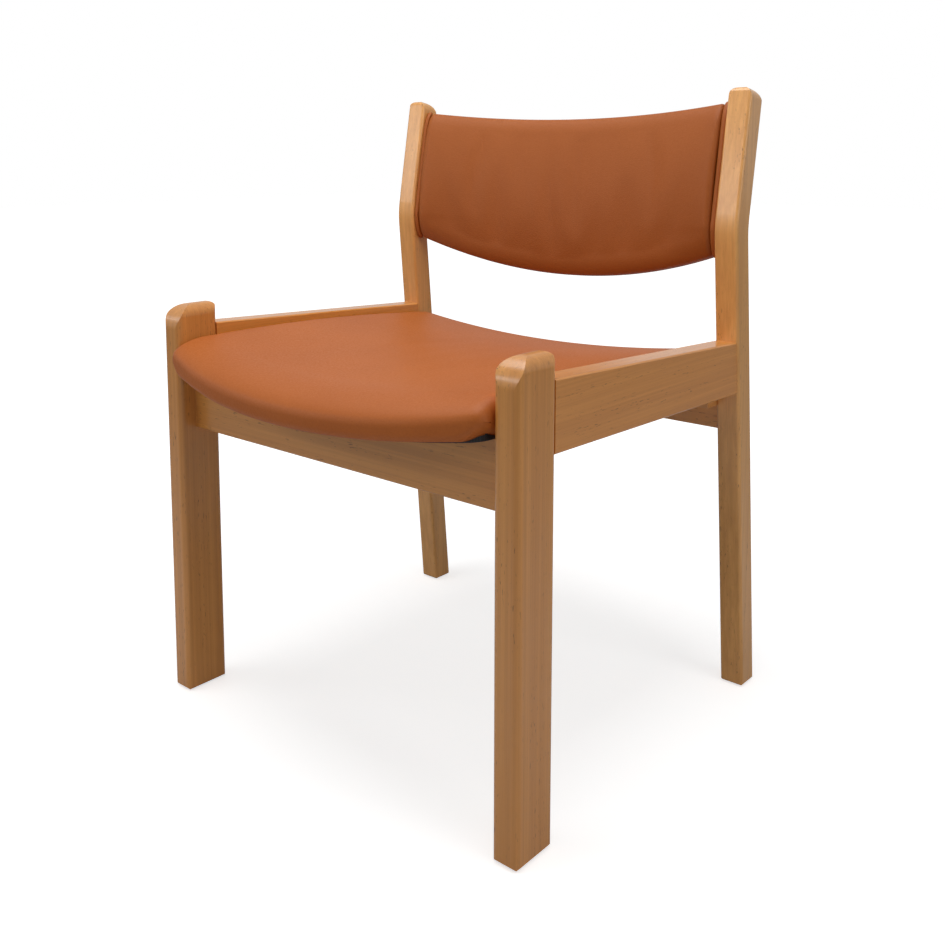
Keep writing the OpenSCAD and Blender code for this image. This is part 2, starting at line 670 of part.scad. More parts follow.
// Screws through the battens into the rails, head inwards, on the right-hand side
module side_batten_screws(gap = 0) {
    for (s = side_screw_shares) {
        y = side_batten_front + side_batten_length * s;
        translate([side_rail_in - batten_w, y, seat_under_h(side_rail_in - batten_w, y) - batten_h / 2])
            rotate([0, 90, 0]) screw(batten_w + screw_bite, gap);
    }
}
module front_batten_screws(gap = 0) {
    for (s = cross_screw_shares)
        translate([front_leg_in * s, front_rail_back + batten_w,
            seat_under_h(0, front_rail_back + batten_w) - batten_h / 2])
            rotate([90, 0, 0]) screw(batten_w + screw_bite, gap);
}
module rear_batten_screws(gap = 0) {
    for (s = cross_screw_shares)
        translate([rear_leg_in * s, side_batten_rear,
            seat_under_h(0, side_batten_rear + batten_w) - batten_h / 2])
            rotate([-90, 0, 0]) screw(batten_w + screw_bite, gap);
}
// Screws up through the right-hand side batten into the seat board
module seat_fixings(gap = 0) {
    x = side_rail_in - batten_w + seat_screw_inset;
    for (s = seat_screw_shares) {
        y = side_batten_front + side_batten_length * s;
        translate([x, y, seat_under_h(side_rail_in - batten_w, y) - batten_h])
            screw(batten_h + seat_dish * batten_w / seat_half_w + screw_bite, gap);
    }
}

module seat_board() {
    color(ply_colour) in_chair() difference() {
        on_seat() bent_sheet(function(u, v, inset) seat_at(u, v, inset),
            even(board_inset(seat_under_r)), seat_r, 0, seat_board_t, seat_length);
        for (side = [-1, 1]) on_side(side) seat_fixings(fit_gap);
    }
}
module seat_foam() {
    color(foam_colour) in_chair() on_seat()
        cushion_foam(function(u, v, inset) seat_at(u, v, inset), function(p) seat_top(p), seat_r);
}
module seat_cover() {
    color(leather_colour) in_chair() on_seat() cushion_skin(function(u, v, inset) seat_at(u, v, inset),
        function(p) seat_top(p), seat_r, seat_board_t, seat_under_r);
}
module seat_underlining() {
    color(lining_colour) in_chair() difference() {
        on_seat() bent_sheet(function(u, v, inset) seat_at(u, v, inset),
            even(lining_inset(seat_under_r)), seat_r, seat_board_t + layer_gap, leather_t, seat_length);
        for (side = [-1, 1]) on_side(side) seat_fixings(fit_gap);
    }
}

module back_board() {
    color(ply_colour) in_chair() on_back() bent_sheet(function(u, v, inset) back_at(u, v, inset),
        even(board_inset(back_under_r)), back_r, 0, back_board_t, 2 * back_length);
}
module back_foam() {
    color(foam_colour) in_chair() on_back()
        cushion_foam(function(u, v, inset) back_at(u, v, inset), function(p) back_top(p), back_r);
}
module back_front_cover() {
    color(leather_colour) in_chair() on_back() cushion_skin(function(u, v, inset) back_at(u, v, inset),
        function(p) back_top(p), back_r, back_board_t, back_under_r);
}
module back_rear_cover() {
    color(leather_colour) in_chair() on_back() bent_sheet(function(u, v, inset) back_at(u, v, inset),
        even(lining_inset(back_under_r)), back_r, back_board_t + layer_gap, leather_t, 2 * back_length);
}

// Side view of a stile's front, with its face a step below the front panel
strip_points = 24;
strip_probe = 0.01;
strip_face = back_depth - back_setback - strip_step;
function strip_level(w) = back_dish + (strip_face - back_dish + strip_bulge(w))
    * roll(w, back_roll, back_keep_share) * roll(back_length - w, back_roll, back_keep_share);
function strip_line(depth) = [for (k = [0:strip_points]) let (
    w = back_length * spread_along(k, strip_points),
    a = max(0, w - strip_probe),
    b = min(back_length, w + strip_probe),
    run = [b - a, strip_level(b) - strip_level(a)])
    [w, strip_level(w)] + depth / norm(run) * [run[1], -run[0]]];
module along_back(x, width) {
    translate([x + width, 0, 0]) rotate([0, -90, 0]) linear_extrude(height = width) mirror([1, 0])
        rotate([0, 0, 90]) children();
}
module stile_face(depth) {
    polygon(concat(strip_line(depth),
        [[back_length - depth, strip_face - stile_d], [depth, strip_face - stile_d]]));
}
module back_stile(side) {
    gap = leather_t + layer_gap;
    color(wood_colour) in_chair() on_side(side) difference() {
        on_back() along_back(back_half_w + layer_gap, strip_w - layer_gap) stile_face(gap);
        back_side_dowels(fit_gap);
    }
}
module back_strip(side) {
    color(leather_colour) in_chair() on_side(side) on_back()
        along_back(back_half_w + layer_gap, strip_w - 2 * layer_gap) difference() {
            stile_face(0);
            stile_room();
        }
}
module stile_room() {
    polygon(concat(strip_line(leather_t), [[back_length - leather_t, strip_face - stile_d - overrun],
        [leather_t, strip_face - stile_d - overrun]]));
}

module glide() {
    color(glide_colour) {
        cylinder(r1 = glide_r - glide_h / 2, r2 = glide_r, h = glide_h / 2, $fn = 64);
        translate([0, 0, glide_h / 2]) cylinder(r = glide_r, h = glide_h / 2, $fn = 64);
        glide_pin();
    }
}
module front_glide(side) { in_chair() on_side(side) front_foot() glide(); }
module rear_glide(side) { in_chair() on_side(side) rear_foot() glide(); }

module both_sides() { for (side = [-1, 1]) on_side(side) children(); }
module front_rail_dowels() {
    color(wood_colour) in_chair() both_sides()
        cross_dowels(front_leg_in, front_rail_setback + cross_rail_t / 2, front_dowel_heights);
}
module rear_rail_dowels() {
    color(wood_colour) in_chair() both_sides()
        cross_dowels(rear_leg_in, rear_rail_front + cross_rail_t / 2, rear_dowel_heights);
}
module side_rail_dowels(side) {
    color(wood_colour) in_chair() on_side(side) {
        side_dowels_front();
        side_dowels_rear();
    }
}
module back_dowels() { color(wood_colour) in_chair() both_sides() back_side_dowels(); }
module batten_screws() {
    color(steel_colour) in_chair() {
        both_sides() side_batten_screws();
        front_batten_screws();
        rear_batten_screws();
    }
}
module seat_screws() { color(steel_colour) in_chair() both_sides() seat_fixings(); }

front_leg(-1);  // front_leg_left
front_leg(1);  // front_leg_right
rear_leg(-1);  // rear_leg_left
rear_leg(1);  // rear_leg_right
side_rail(-1);  // side_rail_left
side_rail(1);  // side_rail_right
front_rail();
rear_rail();
side_batten(-1);  // seat_batten_left
side_batten(1);  // seat_batten_right
front_batten();  // seat_batten_front
rear_batten();  // seat_batten_rear
seat_board();
seat_foam();
seat_cover();
seat_underlining();
back_board();
back_foam();
back_front_cover();
back_rear_cover();
back_stile(-1);  // back_stile_left
back_stile(1);  // back_stile_right
back_strip(-1);  // back_strip_left
back_strip(1);  // back_strip_right
front_rail_dowels();
rear_rail_dowels();
side_rail_dowels(-1);  // side_rail_dowels_left
side_rail_dowels(1);  // side_rail_dowels_right
back_dowels();
batten_screws();
seat_screws();
front_glide(-1);  // glide_front_left
front_glide(1);  // glide_front_right
rear_glide(-1);  // glide_rear_left
rear_glide(1);  // glide_rear_right
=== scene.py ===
"""A side chair with a beech frame and leather upholstery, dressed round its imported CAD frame.

Lengths are in metres. Each piece of upholstery is made in its board's own frame, with x across,
y along the board and z out of it, and is then placed on the chair.
"""
import math

import bmesh
import bpy
import numpy as np
from mathutils import Matrix, Vector


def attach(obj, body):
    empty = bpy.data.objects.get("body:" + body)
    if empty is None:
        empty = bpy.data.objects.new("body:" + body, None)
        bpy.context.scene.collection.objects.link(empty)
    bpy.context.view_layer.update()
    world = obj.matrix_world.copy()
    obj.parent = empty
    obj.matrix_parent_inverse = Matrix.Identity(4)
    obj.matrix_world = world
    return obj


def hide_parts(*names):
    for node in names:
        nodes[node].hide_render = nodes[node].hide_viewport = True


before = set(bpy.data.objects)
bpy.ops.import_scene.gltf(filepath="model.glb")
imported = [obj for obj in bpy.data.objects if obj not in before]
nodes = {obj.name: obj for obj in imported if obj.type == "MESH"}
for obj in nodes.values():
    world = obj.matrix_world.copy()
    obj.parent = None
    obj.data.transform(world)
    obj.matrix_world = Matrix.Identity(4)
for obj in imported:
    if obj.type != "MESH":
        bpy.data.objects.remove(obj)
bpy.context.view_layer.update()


def radius(half_w, dish):
    """Radius of an arc that is dish deep over twice half_w."""
    return (half_w ** 2 + dish ** 2) / (2 * dish)


# Sizes of the CAD forms that the upholstery follows. CHAIR_FRONT is where the front legs' faces
# stand. A roll is the width over which an edge rounds down, and a keep the share of its height
# that is left at the edge. A drop is how far a pad starts below its shape, and a rise how far its
# foam then presses it up.
CHAIR_FRONT = -0.222138
SEAT = dict(half_w=0.2415, dish=0.018, board_t=0.011, foam_t=0.028, crown=0.008,
            overhang=0.054, corner_overhang=0.014, rear=0.45202, corner_r=0.012, pull=0.0015,
            front_roll=0.062, front_keep=0.12, corner_narrow=0.3, corner_keep=0.26,
            side_roll=0.016, side_keep=0.55, rear_roll=0.030, rear_keep=0.4,
            mid_h=0.404, tilt=math.radians(2), under_r=0.008, board_inset=0.010743, lap=0.012,
            cells=(112, 96), drop=0.002, rise=0.005)
BACK = dict(half_w=0.2355, dish=0.028, board_t=0.009, foam_t=0.014, crown=0.005,
            low_bow=0.038, high_dip=0.010, corner_r=0.006, pull=0.001, roll=0.026, keep=0.3,
            side_roll=0.009, side_keep=0.62, bend=0.0333, bulge=0.0069, side_bulge=0.7,
            low_y=0.416845, low_h=0.549, length=0.183344, lean=math.atan(22.160 / 182),
            depth=0.045, under_r=0.005, board_inset=0.007743, lap=0.009,
            cells=(112, 72), drop=0.0015, rise=0.0055)
SEAT["r"] = radius(SEAT["half_w"], SEAT["dish"])
BACK["r"] = radius(BACK["half_w"], BACK["dish"])
LEATHER_T = 0.0012
LAYER_GAP = 0.0003
FOAM_MIN = 0.001

# Where the seat's leather is pulled up under its front corners: a fold at each corner, and a
# slight slant that starts further in. Each grows over a width across the seat from its start, and
# fades over a depth behind the seat's front edge.
FOLD = dict(rise=0.010, start=0.214, width=0.026, front=0.012, depth=0.05)
SLANT = dict(rise=0.002, start=0.10, width=0.12, front=0.0, depth=0.05)

# Pads: how crowded their cells are at the edges, and the steps in which the leather turns under
PAD_CROWDING = 0.75
TURN_STEPS = 8

# Leather's lap under the boards: where it is drawn in as it lifts, and how its edge is rounded
LAP_CLEAR = 0.0006
LAP_LIFT = 0.0012
LAP_EDGE = 0.0003
LAP_EDGE_W = 0.0004

# Padded strips beside the back rest: how far they crown and how flat the crown is
STRIP = dict(inner=0.2358, outer=0.2427, face=0.039, depth=0.004, crown=0.0026, sink=0.0004,
             flatness=0.7, cells=72, crowding=0.9, turns=12)

# Leather on the rear of the back rest: it stands off the board away from its edge
REAR_COVER = dict(inset=0.0092, bevel=0.0002, stand=0.0016, edge=0.006, cells=(72, 48),
                  crowding=0.7)

# Black cloth under the seat. It is free to hang in the field that no batten presses.
DUST_CLOTH = dict(inset=0.0124, clear=0.0004, t=0.0007, cells=48, field_half_w=0.206,
                  field_front=0.076, field_rear=0.404, side_fade=0.05, end_fade=0.06,
                  hang=0.005, quick_hang=0.003, most_hang=0.02, held_below=0.02)

# Black cloth round the front corners of the seat's board
CORNER_CLOTH = dict(outer=0.0099, inner=0.0105, front_share=0.30, gather=1.5, front_points=25,
                    side=(0.01, 0.12), side_points=12, top=0.0005, past_board=0.0012, rows=8)

# Staples: rows are the first place, the last place and the count along an edge. There are none
# where the leather is lifted off the board by more than most_lift.
STAPLE = dict(inset=0.0106, half_l=0.0045, half_w=0.00035, sunk=0.0004, proud=0.00025,
              front=(-0.93, 0.93, 33), rear=(-0.95, 0.95, 31), sides=(0.03, 0.97, 25),
              step=0.01, most_lift=0.0025)

# Cloth simulations: pads that are pressed up by their foam, and the cloth that hangs
PAD_INSET = 0.004
PAD_CELLS = 48
PAD_FRAMES = 20
PAD_CLOTH = dict(quality=6, mass=0.4, tension_stiffness=25, compression_stiffness=25,
                 shear_stiffness=10, bending_stiffness=4, use_pressure=True,
                 uniform_pressure_force=4)
HANG_FRAMES = 24
HANG_CLOTH = dict(quality=6, mass=0.15, tension_stiffness=8, compression_stiffness=8,
                  shear_stiffness=2, bending_stiffness=0.2, shrink_min=-0.004)
TINY = 1e-6

# Camera at the photograph's place, fitted to the legs, rails, seat and back rest
CAMERA = dict(yaw=41.60, pitch=6.71, tip=-0.15, place=(0.83022, -0.95596, 0.67094),
              sensor=36.0, lens=40.402, shift=(0.03493, -0.20582), clip=(0.01, 60.0))


# Shapes of the pads
def dish_height(x, r, t=0.0):
    """Height of a dished board's upper face, or of a layer t below it."""
    return r - np.sqrt((r + t) ** 2 - x ** 2)


def roll(d, r, keep):
    """Share of the height at a distance d from an edge that rounds down over r."""
    s = 1 - np.clip(d / r, 0, 1)
    return keep + (1 - keep) * np.sqrt(1 - s * s)


def corner_step(x, half_w, r):
    """How far a rounded corner draws an edge back at x."""
    s = np.clip((np.abs(x) - half_w + r) / r, 0, 1)
    return r * (1 - np.sqrt(1 - s * s))


def ease(s):
    """Smooth step from 0 to 1."""
    s = np.clip(s, 0, 1)
    return s * s * (3 - 2 * s)


def level(x, y):
    """Nought at every place."""
    return 0 * x


def seat_front(x):
    """Depth of the seat's front edge, straight ahead of a place across it."""
    k = SEAT
    u = np.clip(np.abs(x) / k["half_w"], 0, 1)
    return -k["corner_overhang"] - (k["overhang"] - k["corner_overhang"]) * (1 - u * u)


def seat_at(u, v, inset):
    """Place on the seat: u from -1 to 1 across it, v from 0 at its front to 1 at its rear."""
    k = SEAT
    half_w = k["half_w"] - inset
    x = u * half_w
    bow = (k["overhang"] - k["corner_overhang"]) * (1 - u * u)
    step = corner_step(x, half_w, k["corner_r"])
    front = inset - k["corner_overhang"] - bow + step
    rear = k["rear"] - inset - step
    return x * (1 - k["pull"] / k["half_w"] * np.sin(np.pi * v)), front + (rear - front) * v


def seat_top(x, y):
    """Height of the seat's leather above the lowest line of its board."""
    k = SEAT
    u = np.clip(np.abs(x) / k["half_w"], 0, 1)
    step = corner_step(x, k["half_w"], k["corner_r"])
    bow = (k["overhang"] - k["corner_overhang"]) * (1 - u * u)
    d_front = y + k["corner_overhang"] + bow - step
    d_rear = k["rear"] - y - step
    v = np.clip(d_front / (d_front + d_rear), 0, 1)
    full = k["foam_t"] + LEATHER_T + np.sin(np.pi * v) * k["crown"]
    height = dish_height(x, k["r"]) + full \
        * roll(d_front, k["front_roll"] * (1 - k["corner_narrow"] * u ** 4),
               k["front_keep"] + k["corner_keep"] * u ** 4) \
        * roll(d_rear, k["rear_roll"], k["rear_keep"]) \
        * roll(k["half_w"] - np.abs(x), k["side_roll"], k["side_keep"])
    return np.maximum(height, dish_height(x, k["r"]) + LEATHER_T + 2 * LAYER_GAP + FOAM_MIN)


def back_at(u, v, inset):
    """Place on the back rest: u from -1 to 1 across it, v from 0 at its foot to 1 at its top."""
    k = BACK
    half_w = k["half_w"] - inset
    x = u * half_w
    step = corner_step(x, half_w, k["corner_r"])
    low = inset - k["low_bow"] * (1 - u * u) + step
    high = k["length"] - inset - k["high_dip"] * (1 - u * u) - step
    return x * (1 - k["pull"] / k["half_w"] * np.sin(np.pi * v)), low + (high - low) * v


def back_bulge(y):
    """How far the posts' bend stands before their chord, at a distance up the back rest."""
    k = BACK
    below, above = y / k["bend"], (k["length"] - y) / (k["length"] - k["bend"])
    return k["bulge"] * np.clip(np.minimum(below, above), 0, 1)


def back_top(x, y):
    """Height of the back rest's leather before the deepest line of its board."""
    k = BACK
    u = np.clip(np.abs(x) / k["half_w"], 0, 1)
    step = corner_step(x, k["half_w"], k["corner_r"])
    d_low = y + k["low_bow"] * (1 - u * u) - step
    d_high = k["length"] - k["high_dip"] * (1 - u * u) - step - y
    v = np.clip(d_low / (d_low + d_high), 0, 1)
    full = k["foam_t"] + LEATHER_T + np.sin(np.pi * v) * k["crown"] \
        + k["side_bulge"] * back_bulge(y) * u ** 4
    height = dish_height(x, k["r"]) + full * roll(d_low, k["roll"], k["keep"]) \
        * roll(d_high, k["roll"], k["keep"]) \
        * roll(k["half_w"] - np.abs(x), k["side_roll"], k["side_keep"])
    return np.maximum(height, dish_height(x, k["r"]) + LEATHER_T + 2 * LAYER_GAP + FOAM_MIN)


def seat_lift(x, y):
    """How far the seat's leather is pulled up under its front corners."""
    f, s, behind = FOLD, SLANT, y - seat_front(x)
    return f["rise"] * ease((np.abs(x) - f["start"]) / f["width"]) \
        * ease(1 - (behind - f["front"]) / f["depth"]) \
        + s["rise"] * ease((np.abs(x) - s["start"]) / s["width"]) \
        * ease(1 - (behind - s["front"]) / s["depth"])


def from_seat(p):
    """Points of the tilted seat, in the chair's frame."""
    c, s = math.cos(SEAT["tilt"]), math.sin(SEAT["tilt"])
    p = np.asarray(p, float)
    return np.stack([p[..., 0], p[..., 1] * c + p[..., 2] * s + CHAIR_FRONT,
                     p[..., 2] * c - p[..., 1] * s + SEAT["mid_h"]], -1)


def from_back(p):
    """Points of the leaning back rest, in the chair's frame."""
    c, s = math.cos(BACK["lean"]), math.sin(BACK["lean"])
    p = np.asarray(p, float)
    z = p[..., 2] - BACK["depth"]
    return np.stack([p[..., 0], p[..., 1] * s - z * c + BACK["low_y"] + CHAIR_FRONT,
                     p[..., 1] * c + z * s + BACK["low_h"]], -1)


def add_camera():
    """A camera turned by its yaw and pitch, and then tipped about its own line of sight."""
    k = CAMERA
    yaw, pitch, tip = math.radians(k["yaw"]), math.radians(k["pitch"]), math.radians(k["tip"])
    ahead = Vector((-math.sin(yaw) * math.cos(pitch), math.cos(yaw) * math.cos(pitch),
                    -math.sin(pitch)))
    right = Vector((math.cos(yaw), math.sin(yaw), 0))
    up = right.cross(ahead)
    right, up = (math.cos(tip) * right + math.sin(tip) * up,
                 -math.sin(tip) * right + math.cos(tip) * up)
    data = bpy.data.cameras.new("camera")
    data.sensor_width, data.lens = k["sensor"], k["lens"]
    data.shift_x, data.shift_y = k["shift"]
    data.clip_start, data.clip_end = k["clip"]
    camera = bpy.data.objects.new("camera", data)
    turn = Matrix((right, up, -ahead)).transposed().to_4x4()
    camera.matrix_world = Matrix.Translation(k["place"]) @ turn
    bpy.context.scene.collection.objects.link(camera)
    bpy.context.scene.camera = camera


add_camera()


# Node materials
class Nodes:
    """A material's node tree, with short calls for what the materials here are made of."""

    def __init__(self, name):
        self.material = bpy.data.materials.new(name)
        self.material.use_nodes = True
        self.tree = self.material.node_tree
        self.shader = self.tree.nodes["Principled BSDF"]
        self.object = self.tree.nodes.new("ShaderNodeTexCoord").outputs["Object"]

    def put(self, socket, value):
        """Link a socket to an output, or set it to a value."""
        if isinstance(value, bpy.types.NodeSocket):
            self.tree.links.new(value, socket)
        else:
            socket.default_value = value

    def node(self, kind, inputs=None, **values):
        made = self.tree.nodes.new(kind)
        for key, value in values.items():
            setattr(made, key, value)
        for key, value in (inputs or {}).items():
            self.put(made.inputs[key], value)
        return made

    def stretched(self, scale, place=(0, 0, 0)):
        """Places on the object, scaled along each axis."""
        return self.node("ShaderNodeMapping", {"Vector": self.object, "Scale": scale,
                                                "Location": place}).outputs["Vector"]

    def noise(self, vector, detail=3.0, rough=0.5, distortion=0.0):
        return self.node("ShaderNodeTexNoise", {
            "Vector": vector, "Scale": 1.0, "Detail": detail, "Roughness": rough,
            "Distortion": distortion}).outputs["Fac"]

    def wave(self, direction, scale, distortion):
        return self.node("ShaderNodeTexWave", {
            "Vector": self.object, "Scale": scale, "Distortion": distortion},
            bands_direction=direction).outputs["Fac"]

    def spread(self, value, low, high, to_low=0.0, to_high=1.0):
        """Bring the range from low to high to another range, cut off at its ends."""
        return self.node("ShaderNodeMapRange", {
            "Value": value, "From Min": low, "From Max": high, "To Min": to_low,
            "To Max": to_high}, clamp=True).outputs["Result"]

    def math(self, operation, a, b=0.0):
        return self.node("ShaderNodeMath", {0: a, 1: b}, operation=operation).outputs[0]

    def times(self, a, b):
        return self.math("MULTIPLY", a, b)

    def mix(self, share, a, b):
        """A colour between a and b. A colour mix has its two colours on sockets 6 and 7."""
        made = self.node("ShaderNodeMix", data_type="RGBA")
        for key, value in (("Factor", share), (6, a), (7, b)):
            self.put(made.inputs[key], value)
        return made.outputs[2]

    def finish(self, colour, rough, bumps=(), **values):
        """Set up the shader. A bump is its height, its depth in metres and its strength."""
        self.put(self.shader.inputs["Base Color"], colour)
        self.put(self.shader.inputs["Roughness"], rough)
        normal = None
        for height, distance, strength in bumps:
            made = self.node("ShaderNodeBump", {"Height": height, "Distance": distance,
                                                "Strength": strength})
            if normal is not None:
                self.put(made.inputs["Normal"], normal)
            normal = made.outputs["Normal"]
        if normal is not None:
            self.put(self.shader.inputs["Normal"], normal)
        for key, value in values.items():
            self.shader.inputs[key.replace("_", " ")].default_value = value
        return self.material


def rgb(r, g, b):
    return (r, g, b, 1.0)


def tinted(colour, tone):
    """A colour with its red, green and blue each multiplied by a share of tone."""
    return rgb(*(part * share for part, share in zip(colour, tone)))


# Colours of the wood and of the leather
BEECH = dict(pale=(0.80, 0.400, 0.125), mid=(0.70, 0.330, 0.094), dark=(0.49, 0.202, 0.053),
             fleck=(0.15, 0.055, 0.018))
LEATHER = dict(dark=(0.475, 0.122, 0.017), pale=(0.520, 0.138, 0.021), speck=(0.31, 0.070, 0.014))
RING_SHARE, LINE_SHARE, FIBRE_SHARE = 0.40, 0.36, 0.30
FLECK_SHARE, FLECK_ZONE_SHARE = 0.10, 0.56


def beech(name, axis, place, tone):
    """Lacquered beech with its grain along an axis: soft bands, fine fibres and dark ray flecks."""
    n = Nodes(name)

    def along(across, down):
        """Places for noise that repeats so many times a metre across and down the grain."""
        scale = [across] * 3
        scale[axis] = down
        return n.stretched(scale, place)

    bands = n.spread(n.noise(along(24, 1.2), detail=2.0, distortion=0.5), 0.3, 0.7)
    rings = n.spread(n.noise(along(170, 1.6), detail=2.0, distortion=0.2), 0.34, 0.66)
    lines = n.spread(n.noise(along(430, 3.5), detail=2.0, rough=0.6), 0.36, 0.66)
    fibres = n.spread(n.noise(along(1000, 16), detail=3.0, rough=0.6), 0.3, 0.72)
    flecks = n.spread(n.noise(along(760, 105), detail=1.0), 0.66, 0.72)
    zones = n.spread(n.noise(along(75, 5), detail=1.0), 0.47, 0.62)
    # A piece's tone shifts all its colours; for the frame's pieces it is partly painted shade and
    # sheen.
    pale, mid, dark = (tinted(BEECH[key], tone) for key in ("pale", "mid", "dark"))
    colour = n.mix(bands, mid, pale)
    colour = n.mix(n.times(rings, RING_SHARE), colour, dark)
    colour = n.mix(n.times(lines, LINE_SHARE), colour, dark)
    colour = n.mix(n.times(fibres, FIBRE_SHARE), colour, mid)
    marks = n.times(flecks, n.math("ADD", n.times(zones, FLECK_ZONE_SHARE), FLECK_SHARE))
    colour = n.mix(marks, colour, tinted(BEECH["fleck"], tone))
    rough = n.spread(n.noise(along(40, 6)), 0.3, 0.7, 0.38, 0.50)
    return n.finish(colour, rough, [(fibres, 0.00008, 0.35), (bands, 0.0004, 0.15)],
                    Coat_Weight=0.9, Coat_Roughness=0.20, Specular_IOR_Level=0.35)


def leather(name, tone):
    """Tan leather with a fine pebbled grain."""
    n = Nodes(name)
    dark, pale, dot = (tinted(LEATHER[key], (tone,) * 3) for key in ("dark", "pale", "speck"))
    cloud = n.noise(n.stretched((7, 7, 7)), detail=3.0)
    speck = n.noise(n.stretched((420, 420, 420)), detail=2.0)
    colour = n.mix(n.spread(cloud, 0.3, 0.7), dark, pale)
    colour = n.mix(n.spread(speck, 0.35, 0.75, 0.0, 0.16), colour, dot)
    cells = n.node("ShaderNodeTexVoronoi", {
        "Vector": n.stretched((760, 760, 760)), "Scale": 1.0, "Smoothness": 0.5},
        feature="SMOOTH_F1").outputs["Distance"]
    folds = n.noise(n.stretched((190, 190, 190)), detail=4.0, rough=0.6)
    rough = n.spread(speck, 0.3, 0.7, 0.46, 0.56)
    return n.finish(colour, rough, [(cells, 0.0004, 0.4), (folds, 0.0006, 0.22)],
                    Specular_IOR_Level=0.30)


def cloth(name):
    """Black woven lining."""
    n = Nodes(name)
    weave = n.times(n.wave("X", 160.0, 0.4), n.wave("Y", 160.0, 0.4))
    lint = n.spread(n.noise(n.stretched((90, 90, 90)), detail=4.0), 0.3, 0.7)
    colour = n.mix(weave, rgb(0.014, 0.014, 0.016), rgb(0.040, 0.040, 0.045))
    colour = n.mix(n.times(lint, 0.25), colour, rgb(0.065, 0.063, 0.066))
    return n.finish(colour, 0.85, [(weave, 0.0003, 0.5)], Sheen_Weight=0.04, Sheen_Roughness=0.5)


def plywood(name):
    """Beech plywood with its layers showing along the edge."""
    n = Nodes(name)
    layers = n.wave("Z", 110.0, 0.6)
    grain = n.noise(n.stretched((600, 12, 600)), detail=3.0)
    colour = n.mix(n.spread(grain, 0.3, 0.7), rgb(0.56, 0.36, 0.19), rgb(0.68, 0.47, 0.27))
    colour = n.mix(n.times(layers, 0.4), colour, rgb(0.42, 0.25, 0.12))
    return n.finish(colour, 0.6, [(grain, 0.0002, 0.3)])


def steel(name):
    """Bright drawn steel."""
    n = Nodes(name)
    brushed = n.noise(n.stretched((1200, 1200, 60)), detail=2.0)
    colour = n.mix(brushed, rgb(0.42, 0.42, 0.43), rgb(0.62, 0.62, 0.63))
    return n.finish(colour, n.spread(brushed, 0.3, 0.7, 0.28, 0.42), Metallic=1.0)


def nylon(name):
    """Brown nylon, a little scuffed."""
    n = Nodes(name)
    dust = n.noise(n.stretched((260, 260, 260)), detail=3.0)
    colour = n.mix(dust, rgb(0.10, 0.075, 0.055), rgb(0.17, 0.13, 0.095))
    return n.finish(colour, n.spread(dust, 0.3, 0.7, 0.42, 0.6), [(dust, 0.0001, 0.3)])


seat_leather = leather("seat_leather", 0.95)
# The back rest's leather is the seat's leather written about a quarter darker: painted shade.
shaded_back_leather = leather("shaded_back_leather", 0.73)
lining = cloth("lining")
corner_cloth = cloth("corner_lining")
ply = plywood("plywood")
screw_steel = steel("steel")
glide_nylon = nylon("nylon")

# Shades of the wood: the front frame and the side rails are redder and darker than the bent rear
# legs. This is partly the pieces' own tone and partly painted light: painted shade darkens the
# front frame and the rails, and a painted sheen makes the rear legs paler.
PLAIN = (1.0, 1.0, 1.0)
FRONT_TONE_AND_SHADE = (0.97, 0.86, 0.62)
RAIL_TONE_AND_SHADE = (1.06, 0.90, 0.58)
REAR_TONE_AND_SHEEN = (1.09, 1.12, 1.07)

# Which way the grain runs in each wooden node, where its figure starts, and its shade, which for
# the frame's pieces is partly painted shade and painted sheen
GRAIN = {"front_leg_left": (2, 0.3, FRONT_TONE_AND_SHADE), "front_leg_right": (2, 1.7, FRONT_TONE_AND_SHADE),
         "rear_leg_left": (2, 2.9, REAR_TONE_AND_SHEEN), "rear_leg_right": (2, 4.1, REAR_TONE_AND_SHEEN),
         "side_rail_left": (1, 5.3, RAIL_TONE_AND_SHADE), "side_rail_right": (1, 6.7, RAIL_TONE_AND_SHADE),
         "front_rail": (0, 7.9, FRONT_TONE_AND_SHADE), "rear_rail": (0, 9.1, FRONT_TONE_AND_SHADE),
         "seat_batten_left": (1, 10.3, PLAIN), "seat_batten_right": (1, 11.7, PLAIN),
         "seat_batten_front": (0, 12.9, PLAIN), "seat_batten_rear": (0, 14.1, PLAIN),
         "back_stile_left": (2, 15.3, PLAIN), "back_stile_right": (2, 16.7, PLAIN),
         "front_rail_dowels": (0, 17.9, PLAIN), "rear_rail_dowels": (0, 19.1, PLAIN),
         "side_rail_dowels_left": (1, 20.3, PLAIN), "side_rail_dowels_right": (1, 21.7, PLAIN),
         "back_dowels": (0, 22.9, PLAIN)}
FIGURE_STEP = (1.0, 1.7, 0.6)


def dress(node, material):
    """Give every slot of a CAD node one material."""
    for slot in nodes[node].material_slots:
        slot.material = material


for node, (axis, start, tone) in GRAIN.items():
    place = tuple(start * step for step in FIGURE_STEP)
    dress(node, beech("beech_" + node, axis, place, tone))
for node in ("seat_board", "back_board"):
    dress(node, ply)
for node in ("batten_screws", "seat_screws"):
    dress(node, screw_steel)
for node in ("glide_front_left", "glide_front_right", "glide_rear_left", "glide_rear_right"):
    dress(node, glide_nylon)


# Meshes
def loop_places(n, m):
    """Columns and rows round the rim of a grid of n by m cells, in order."""
    return ([(i, 0) for i in range(n)] + [(n, j) for j in range(m)]
            + [(i, m) for i in range(n, 0, -1)] + [(0, j) for j in range(m, 0, -1)])


def grid_faces(rows, columns):
    """Faces of an open grid of so many rows and columns of points."""
    return [(j * columns + i, j * columns + i + 1, (j + 1) * columns + i + 1, (j + 1) * columns + i)
            for j in range(rows - 1) for i in range(columns - 1)]


def tube_faces(rings, length):
    """Faces of a closed tube: rings are its long lines of points, and both ends are capped."""
    faces = []
    for i in range(rings):
        a, b = i * length, (i + 1) % rings * length
        faces += [(a + j, a + j + 1, b + j + 1, b + j) for j in range(length - 1)]
    return faces + [tuple(i * length for i in range(rings)),
                    tuple(i * length + length - 1 for i in range(rings))]


